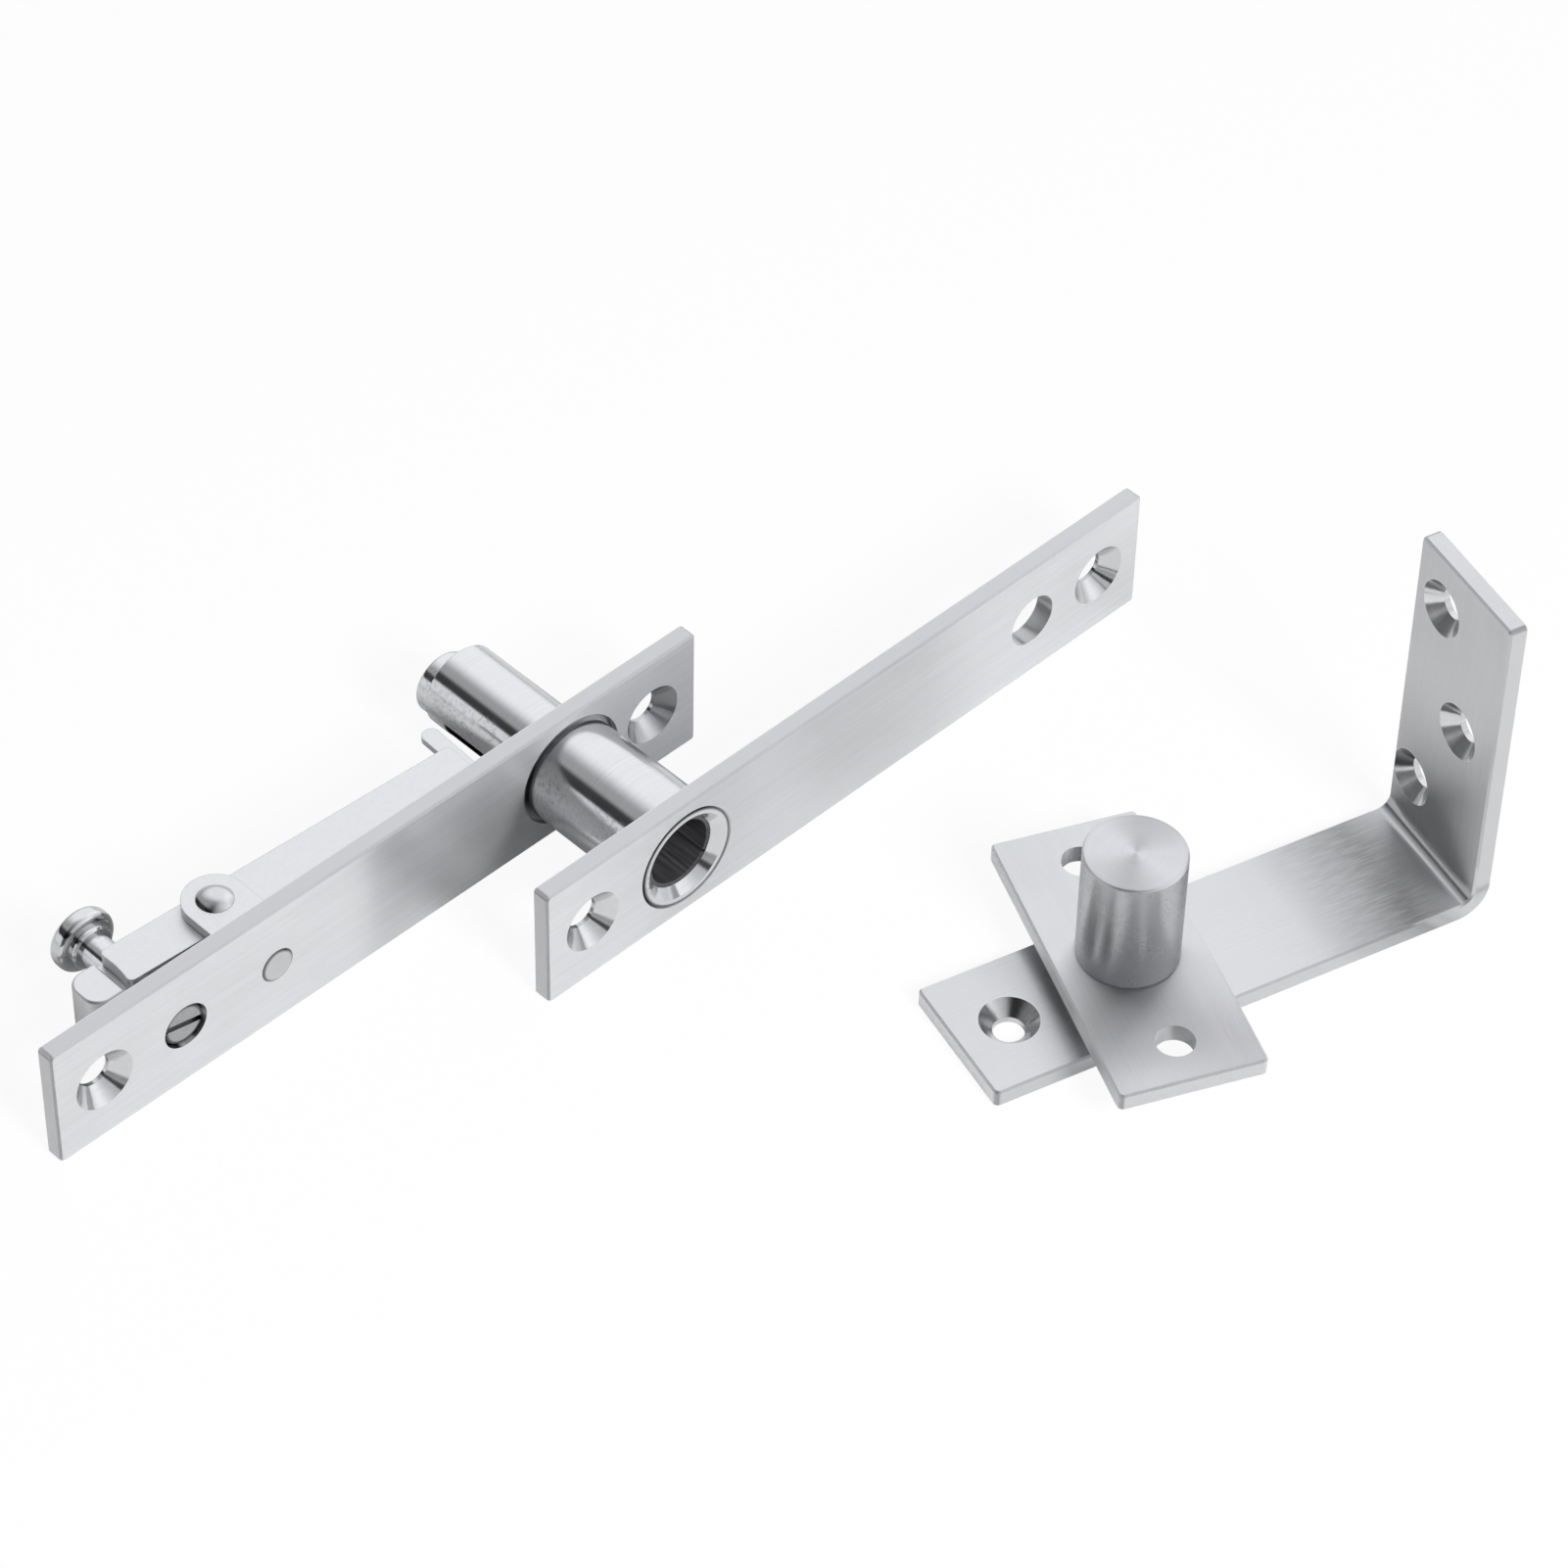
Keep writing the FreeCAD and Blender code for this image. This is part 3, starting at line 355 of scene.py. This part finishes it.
def turned_steel(name, node, axis=BACK, colour=TURNED_COLOUR, rough=0.20, mottle=0.6, pull=0.75,
                 worn_side=None, rim=None, end=None, head=None):
    """Steel turned about an axis through a node's middle, with rings and fine specks.

    Mottle is how strong the specks are, and pull how far the rings stretch a reflection. The
    specks are thick on the worn side. A rim is a radius, and a depth before which painted shade
    darkens the edge there. An end is the depth of a clean turned face without specks, which painted
    light makes lighter than the rest. A head is the depth where a darker head ends, and its shade.
    Depths are along the axis from the middle."""
    graph = Graph(bpy.data.materials.new(name))
    place = graph.place()
    centre = middle(node)
    swirl, radius, depth = graph.turned(place, centre, axis)
    ring = graph.grain(graph.joined(radius, depth), RINGS)
    speck = graph.grain(place, SPECKS)
    patch = graph.grain(place, WORN_PATCHES)
    worn = graph.product(graph.remap(patch, (LEAST_WORN, 1.0), PATCH_BAND), mottle)
    if end:
        worn = graph.product(worn, graph.math("LESS_THAN", depth, end))
    if worn_side:
        aside = graph.dot(graph.vector("SUBTRACT", place, centre), worn_side)
        toward = graph.math("DIVIDE", aside, radius)
        worn = graph.product(worn, graph.remap(toward, (CLEAN_SIDE, 1.0), WORN_FACING))
    spot = graph.product(graph.falling(speck, SPECK_BAND), worn)
    shade = graph.math("SUBTRACT", graph.remap(ring, RING_SHADES, MID_BAND),
                       graph.product(spot, SPOT_SHADE))
    patch_rough = (rough - PATCH_ROUGH, rough + PATCH_ROUGH)
    roughness = graph.total(graph.product(spot, SPOT_ROUGH),
                            graph.remap(patch, patch_rough, MID_BAND))
    # Painted shade darkens the rim: the sleeve's contact shadow by the frame plate, and the screw
    # head's shade in its hole
    if rim:
        edge, inner_depth = rim
        painted_rim_shade = graph.product(graph.remap(radius, (0.0, RIM_PAINTED_SHADE), (edge - RIM_WIDTH, edge)),
                             graph.math("LESS_THAN", depth, inner_depth))
        shade = graph.product(shade, graph.rest(painted_rim_shade))
    # Painted light makes the end face lighter than the side, and the face is also rougher
    if end:
        step = (end - END_STEP, end)
        shade = graph.product(shade, graph.remap(depth, (1.0, END_PAINTED_LIGHT), step))
        roughness = graph.total(roughness, graph.remap(depth, (0.0, END_ROUGH), step))
    if head:
        head_end, head_shade = head
        step = (head_end, head_end + HEAD_STEP)
        shade = graph.product(shade, graph.remap(depth, (head_shade, 1.0), step))
    pitted = graph.relief(graph.product(speck, worn), PIT_RELIEF, graph.rounded(TURNED_ROUNDING))
    normal = graph.relief(ring, RING_RELIEF, pitted)
    return graph.coat(graph.shaded(colour, shade), roughness, normal, groove=swirl, pull=pull)


# Pressed steel
SATIN_COLOUR = (0.70, 0.705, 0.715)
SATIN_ROUGH = (0.38, 0.46)
CLOUD_SHADES = (0.97, 1.03)
GRIT_SHADES = (-0.02, 0.02)


def satin(name):
    """Pressed steel with a smooth, even satin face."""
    graph = Graph(bpy.data.materials.new(name))
    place = graph.place()
    cloud = graph.grain(place, SATIN_CLOUDS)
    grit = graph.grain(place, SATIN_GRIT)
    shade = graph.total(graph.remap(cloud, CLOUD_SHADES, MID_BAND),
                        graph.remap(grit, GRIT_SHADES, MID_BAND))
    roughness = graph.remap(cloud, SATIN_ROUGH, MID_BAND)
    normal = graph.relief(grit, SATIN_RELIEF, graph.rounded(SATIN_ROUNDING))
    return graph.coat(graph.shaded(SATIN_COLOUR, shade), roughness, normal)


# Polished steel: its roughness is added to a finish's own
POLISH_COLOUR = (0.78, 0.785, 0.795)
POLISH_SHADES = (0.93, 1.0)
POLISH_ROUGH = (-0.03, 0.05)
# A seam's dark ring, a joint line with painted shade of the gap: its width and its shade
SEAM_WIDTH = 0.0003
SEAM_SHADE = 0.25


def bright(name, colour=POLISH_COLOUR, rough=0.09, seam=None):
    """Polished steel with faint handling marks. A seam is the centre and the radius of a dark ring
    at the edge of a rivet: a dark joint line, with painted shade of the gap."""
    graph = Graph(bpy.data.materials.new(name))
    place = graph.place()
    marks = graph.grain(place, HANDLING_MARKS)
    cloud = graph.grain(place, POLISH_CLOUDS)
    shade = graph.remap(marks, POLISH_SHADES, MID_BAND)
    # Painted shade of the gap darkens the rivet's seam
    if seam:
        centre, radius = seam
        reach = graph.turned(place, centre, BACK)[1]
        painted_rim_shade = graph.remap(reach, (1.0, SEAM_SHADE), (radius - SEAM_WIDTH, radius))
        shade = graph.product(shade, painted_rim_shade)
    roughness = graph.remap(cloud, tuple(rough + offset for offset in POLISH_ROUGH), MID_BAND)
    normal = graph.relief(marks, POLISH_RELIEF, graph.rounded(POLISH_ROUNDING))
    return graph.coat(graph.shaded(colour, shade), roughness, normal)


# Dark bearing strip: a stop is a place in the scoring and a brightness
LINER_COLOUR = (0.034, 0.034, 0.037)
LINER_STOPS = ((0.3, 0.6), (0.72, 2.2))
LINER_ROUGH = (0.38, 0.55)


def dry_bearing(name):
    """Dark bearing strip with fine lengthwise scoring."""
    graph = Graph(bpy.data.materials.new(name))
    place = graph.place()
    score = graph.grain(place, LINER_SCORES)
    cloud = graph.grain(place, LINER_CLOUDS)
    tint = graph.ramp(score, [(position, tuple(channel * brightness for channel in LINER_COLOUR))
                              for position, brightness in LINER_STOPS])
    roughness = graph.remap(cloud, LINER_ROUGH, MID_BAND)
    return graph.coat(tint, roughness, graph.relief(score, SCORE_RELIEF), metallic=0.0)


# Top plates: the holes' places along the row, and the height of their middle
FRAME_HOLES = (-0.080, 0.016)
DOOR_HOLES = (-0.016, 0.080)
MID_HEIGHT = 0.010
CUT_EDGES = (UP, (1.0, 0.0, 0.0))

# Countersinks: the radius at the face and the radius of the hole
FIXING_SINK = (0.0046, 0.0024)
FOOT_SINK = (0.0041, 0.0022)

# Bottom pivot: headings in degrees, places along the leg from the pivot, and the wall's holes, each
# by its distance aside and its height
LEG_HEADING = -15.7
FOOT_PLATE_HEADING = 64.9
LEG_TOP = 0.0028
BEND_HEIGHTS = (0.003, 0.007)
WALL_FACE = 0.0477
FLOOR_HOLE = -0.0177
WALL_HOLES = ((0.0045, 0.0444), (-0.0023, 0.0278), (0.0062, 0.0117))
LEG_EDGE_SHADE = 0.9
HOUSING_FACE = 0.0104
HOUSING_COLOUR = (0.48, 0.485, 0.50)
HOUSING_ROUGH = 0.25
HOUSING_PULL = 0.9

# Turned and polished pieces of the top pivot
SMOOTH_ROUGH = 0.16
# Painted shade darkens the sleeve's rim by the frame plate and the screw head's rim in its hole
SLEEVE_RIM = (0.0076, -0.0110)
WORN_SIDE = (-0.966, 0.0, 0.26)
SCREW_RIM = (0.0028, 1.0)
SCREW_HEAD = (-0.0090, 0.6)
PLAIN_MOTTLE = 0.3
RIVET_COLOUR = (0.60, 0.605, 0.615)
DOMED_ROUGH = 0.07
FLUSH_ROUGH = 0.24
FLUSH_RADIUS = 0.0024
KNOB_COLOUR = (0.64, 0.645, 0.655)
KNOB_ROUGH = 0.08

leg = Vector((math.cos(math.radians(LEG_HEADING)), math.sin(math.radians(LEG_HEADING)), 0.0))
side = Vector((-leg.y, leg.x, 0.0))
stud = middle("bottom_pivot_pin")
stud.z = 0.0


def strip_sinks(node, places):
    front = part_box(node)[0][1]
    return [((x, front, MID_HEIGHT), BACK, *FIXING_SINK) for x in places]


def raised(height):
    return Vector((0.0, 0.0, height))


bracket_sinks = [(stud + leg * FLOOR_HOLE + raised(LEG_TOP), (0.0, 0.0, -1.0), *FOOT_SINK)]
for aside, height in WALL_HOLES:
    centre = stud + leg * WALL_FACE + side * aside + raised(height)
    bracket_sinks.append((centre, leg, *FOOT_SINK))

finishes = {
    "frame_plate": brushed("strip_frame", sinks=strip_sinks("frame_plate", FRAME_HOLES),
                           edges=CUT_EDGES),
    "door_plate": brushed("strip_door", sinks=strip_sinks("door_plate", DOOR_HOLES),
                          edges=CUT_EDGES),
    "floor_bracket": brushed("strip_bracket", LEG_HEADING,
                             bend=(BEND_HEIGHTS, stud.dot(leg) + WALL_FACE),
                             sinks=bracket_sinks, edges=(side,), edge_shade=LEG_EDGE_SHADE),
    "bottom_door_plate": brushed("strip_foot", FOOT_PLATE_HEADING),
    "guide_barrel": turned_steel("turned_barrel", "guide_barrel", rough=SMOOTH_ROUGH, mottle=1.0,
                                 worn_side=WORN_SIDE),
    "door_sleeve": turned_steel("turned_sleeve", "door_sleeve", rough=SMOOTH_ROUGH, mottle=1.0,
                                worn_side=WORN_SIDE, rim=SLEEVE_RIM),
    "pivot_pin": turned_steel("turned_pin", "pivot_pin", mottle=PLAIN_MOTTLE),
    "adjusting_screw": turned_steel("turned_screw", "adjusting_screw", rough=SMOOTH_ROUGH,
                                    rim=SCREW_RIM, head=SCREW_HEAD),
    "screw_collar": turned_steel("turned_collar", "screw_collar", mottle=PLAIN_MOTTLE),
    "bearing_housing": turned_steel("turned_housing", "bearing_housing", UP, HOUSING_COLOUR,
                                    rough=HOUSING_ROUGH, mottle=PLAIN_MOTTLE,
                                    pull=HOUSING_PULL, end=HOUSING_FACE),
    "bottom_pivot_pin": turned_steel("turned_stud", "bottom_pivot_pin", UP, mottle=PLAIN_MOTTLE),
    "lever": satin("satin_lever"),
    "nut_block": satin("satin_nut"),
    "fulcrum_bracket": satin("satin_bracket"),
    "fulcrum_rivet": bright("bright_rivet", RIVET_COLOUR, DOMED_ROUGH),
    "bracket_rivet": bright("bright_flush_rivet", RIVET_COLOUR, FLUSH_ROUGH,
                            seam=(middle("bracket_rivet"), FLUSH_RADIUS)),
    "screw_knob": bright("bright_knob", KNOB_COLOUR, KNOB_ROUGH),
    "thrust_ball": bright("bright_ball"),
    "sleeve_liner": dry_bearing("liner_dark"),
    "housing_liner": dry_bearing("housing_liner_dark"),
    "thrust_washer": dry_bearing("washer_dark"),
}
for name, finish in finishes.items():
    for material_slot in nodes[name].material_slots:
        material_slot.material = finish


# Floor

WHITE = (1.0, 1.0, 1.0, 1.0)
PAPER = (0.9, 0.9, 0.9, 1.0)
FLOOR_HALF = 4.0
FLOOR_HEIGHT = -0.0001
SEEN_WHITE = 0.93
MIRRORED_WHITE = 0.05


def floor_finish():
    """A plain pale floor: near white where it is seen, and with its shadows in the metal."""
    graph = Graph(bpy.data.materials.new("floor"))
    ray = graph.node("ShaderNodeLightPath").outputs
    paper = graph.node("ShaderNodeBsdfDiffuse", {"Color": PAPER})
    white = graph.node("ShaderNodeEmission", {"Color": WHITE, "Strength": 1.0})
    seen = graph.math("MAXIMUM", ray["Is Camera Ray"], ray["Is Transmission Ray"])
    share = graph.total(graph.product(seen, SEEN_WHITE),
                        graph.product(ray["Is Glossy Ray"], MIRRORED_WHITE))
    inputs = {0: share, 1: paper.outputs[0], 2: white.outputs[0]}
    return graph.finish(graph.node("ShaderNodeMixShader", inputs))


floor_mesh = bpy.data.meshes.new("floor")
corners = [(x * FLOOR_HALF, y * FLOOR_HALF, 0.0) for x, y in ((-1, -1), (1, -1), (1, 1), (-1, 1))]
floor_mesh.from_pydata(corners, [], [(0, 1, 2, 3)])
floor_mesh.materials.append(floor_finish())
floor = bpy.data.objects.new("floor", floor_mesh)
floor.location = (0.0, 0.0, FLOOR_HEIGHT)
scene.collection.objects.link(floor)


# Light

# The room that the metal mirrors: its even level, and soft panels, each by its direction, the
# cosines where it begins and where it is full, and the light that it adds
ROOM_LEVEL = 0.46
PANELS = (
    ((0.62, 0.45, 0.65), (0.55, 0.92), 0.76),
    ((-0.6, -0.6, 0.5), (0.5, 0.95), -0.38),
    ((-0.85, 0.5, 0.1), (0.75, 0.97), 0.50),
    ((0.15, -0.85, 0.4), (0.45, 0.95), 0.60),
    ((0.9, -0.4, 0.1), (0.55, 0.95), 0.32),
)

# A dark strip over the room, by its angle about the axis of the top pivot: where it lies, its
# stops and its depth
DARK_ANGLES = (math.radians(90), math.radians(190))
DARK_STOPS = ((0.0, 0.0), (0.34, 0.0), (0.42, 0.92), (0.61, 1.0), (0.635, 0.0))
DARK_DEPTH = 0.97

# The room's slight blue, and the strength of the even light
ROOM_BLUE = 1.015
EVEN_LIGHT = 0.3


def studio_world():
    """White where it is seen, even light for the floor, and a room of soft panels for the metal."""
    graph = Graph(bpy.data.worlds.new("studio"))
    ray = graph.node("ShaderNodeLightPath").outputs
    direction = graph.node("ShaderNodeTexCoord").outputs["Generated"]
    level = ROOM_LEVEL
    for axis, cosines, amount in PANELS:
        toward = graph.dot(direction, Vector(axis).normalized())
        panel = graph.remap(toward, (0.0, amount), cosines, "SMOOTHSTEP")
        level = graph.total(level, panel)
    sideways, _, upward = graph.split(direction)
    roll = graph.rising(graph.math("ARCTAN2", upward, sideways), DARK_ANGLES)
    strip = graph.ramp(roll, [(position, (share,) * 3) for position, share in DARK_STOPS])
    level = graph.product(level, graph.rest(graph.product(strip, DARK_DEPTH)))
    blue = graph.product(level, ROOM_BLUE)
    colour = graph.node("ShaderNodeCombineColor", {0: level, 1: level, 2: blue})
    room = graph.node("ShaderNodeBackground", {"Color": colour.outputs[0], "Strength": 1.0})
    strength = graph.node("ShaderNodeMix", {0: ray["Is Camera Ray"], 2: EVEN_LIGHT, 3: 1.0})
    white = graph.node("ShaderNodeBackground", {"Color": WHITE, "Strength": strength.outputs[0]})
    inputs = {0: graph.rest(ray["Is Glossy Ray"]), 1: room.outputs[0], 2: white.outputs[0]}
    return graph.finish(graph.node("ShaderNodeMixShader", inputs), "ShaderNodeOutputWorld")


scene.world = studio_world()

# A soft panel lamp before the object, which the metal doesn't mirror
LAMP_PLACE = Vector((-0.15, -1.0, 0.85))
LAMP_TARGET = Vector((0.0, 0.0, 0.01))
LAMP_SIZE = 0.35
LAMP_POWER = 20.0

lamp_data = bpy.data.lights.new("front_panel", "AREA")
lamp_data.shape = "RECTANGLE"
lamp_data.size = lamp_data.size_y = LAMP_SIZE
lamp_data.energy = LAMP_POWER
lamp = bpy.data.objects.new("front_panel", lamp_data)
lamp.location = LAMP_PLACE
lamp.rotation_euler = (LAMP_TARGET - LAMP_PLACE).to_track_quat("-Z", "Y").to_euler()
lamp.visible_glossy = False
scene.collection.objects.link(lamp)

scene.view_settings.view_transform = "Standard"
